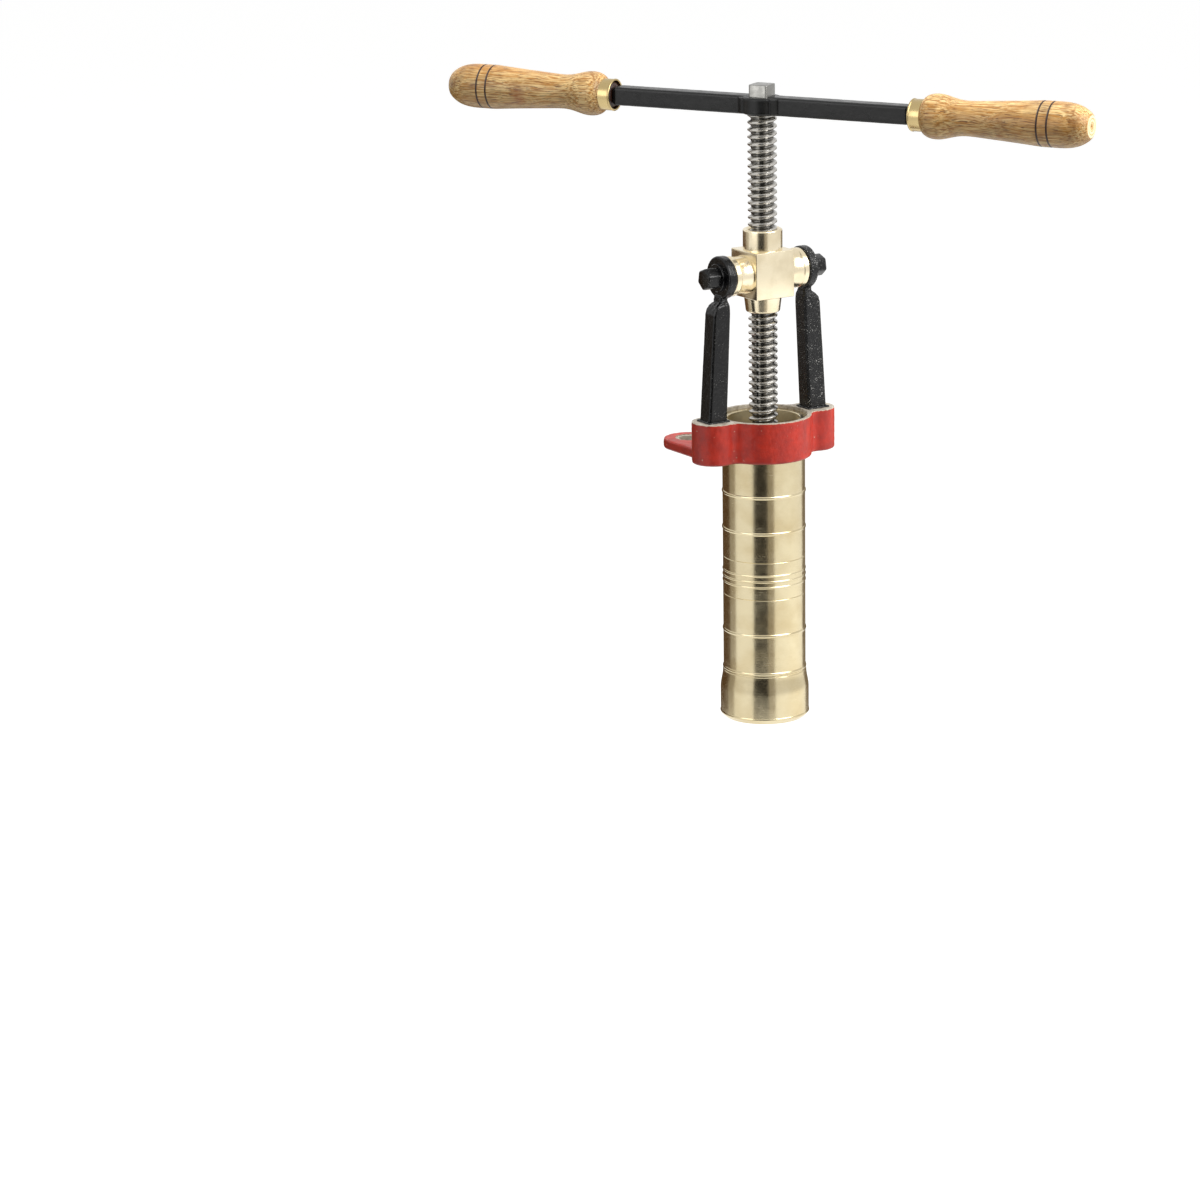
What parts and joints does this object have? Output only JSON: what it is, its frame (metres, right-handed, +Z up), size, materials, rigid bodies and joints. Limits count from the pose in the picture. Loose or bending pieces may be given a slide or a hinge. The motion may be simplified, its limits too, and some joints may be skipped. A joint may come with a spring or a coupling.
{
  "type": "pasta extruder",
  "caption": "Hand-cranked pasta press: a brass barrel hangs from a red cast collar, and a screw with a long two-handed crank drives its piston.",
  "frame": {"origin": "midway between the two lug bolt holes, on the underside of the lugs, which is the face of the bench", "axes": "+Z up along the screw, +X along the collar through both lug bolts, +Y from the barrel over the bench"},
  "size_m": [0.2594, 0.4228, 0.4456],
  "materials": {
    "red_enamel": "red enamel over cast iron, machined bare on top",
    "turned_brass": "turned and satin",
    "polished_brass": "machined and polished",
    "ferrule_brass": "spun and polished",
    "die_bronze": "turned bronze",
    "seal_rubber": "smooth",
    "screw_steel": "machined, oiled",
    "plated_steel": "zinc plated",
    "black_iron": "black gloss paint over rough casting",
    "black_bolts": "black gloss paint",
    "forged_steel": "forged bar, black",
    "grip_wood": "turned ash, clear varnish"
  },
  "bodies": {
    "frame": {"mounting_collar": "red_enamel", "barrel": "turned_brass", "nut_block": "polished_brass", "left_arm": "black_iron", "right_arm": "black_iron", "pivot_bolts": "black_bolts", "pivot_washers": "black_bolts", "arm_foot_nuts": "plated_steel", "arm_foot_washers": "plated_steel"},
    "plunger": {"piston": "die_bronze", "piston_seal_rings": "seal_rubber", "thrust_washer": "die_bronze"},
    "crank_screw": {"press_screw": "screw_steel", "crank_bar": "forged_steel", "left_ferrule": "ferrule_brass", "right_ferrule": "ferrule_brass", "left_grip": "grip_wood", "right_grip": "grip_wood", "retaining_washer": "plated_steel", "piston_retaining_bolt": "plated_steel"},
    "die_carrier": {"die_plate": "die_bronze", "die_gasket": "seal_rubber"},
    "ring_nut": {"end_ring_nut": "turned_brass"}
  },
  "joints": [
    {"name": "plunger_travel", "type": "slide", "parent": "frame", "child": "plunger", "axis": [0, 0, 1], "range_m": [-0.0751, 0.1651]},
    {"name": "crank_turn", "type": "hinge", "parent": "plunger", "child": "crank_screw", "pos_m": [0, -0.0495, 0.2422], "axis": [0, 0, 1], "range_deg": [-5400, 11880]},
    {"name": "die_drop", "type": "slide", "parent": "frame", "child": "die_carrier", "axis": [0, 0, -1], "range_m": [0, 0.0201]},
    {"name": "ring_nut_turn", "type": "hinge", "parent": "die_carrier", "child": "ring_nut", "pos_m": [0, -0.0495, -0.168], "axis": [0, 0, -1], "range_deg": [0, 3600]}
  ],
  "couplings": [
    {"joint": "plunger_travel", "follows": "crank_turn", "m_per_rad": 0.00079577},
    {"joint": "die_drop", "follows": "ring_nut_turn", "m_per_rad": 0.00031831}
  ]
}
